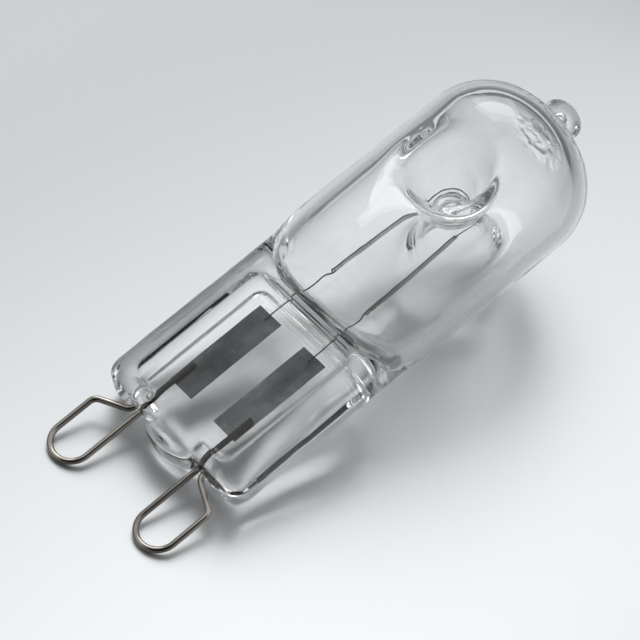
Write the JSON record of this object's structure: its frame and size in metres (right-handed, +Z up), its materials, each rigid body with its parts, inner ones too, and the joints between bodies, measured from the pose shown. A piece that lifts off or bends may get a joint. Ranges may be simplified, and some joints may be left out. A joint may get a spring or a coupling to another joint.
{
  "type": "halogen bulb",
  "caption": "Clear capsule halogen lamp: quartz tube with a domed end and dimpled filament support, flat pressed seal and looped wire pins.",
  "frame": {"origin": "middle of the footprint at table height, with the bulb lying on the base of its seal and the shoulder of its tube, its pin loops just over the table", "axes": "+Z up from the table, +X along the bulb from the pins towards the dome, +Y across the two pins"},
  "size_m": [0.0426, 0.0136, 0.0167],
  "materials": {
    "quartz": "clear polished fused quartz",
    "pin_wire": "drawn molybdenum wire, slightly dulled",
    "foil": "satin grey foil",
    "tungsten": "dark drawn tungsten wire"
  },
  "bodies": {
    "root": {"envelope": "quartz", "pin_left": "pin_wire", "pin_right": "pin_wire", "foil_left": "foil", "foil_right": "foil", "filament": "tungsten"}
  },
  "joints": []
}
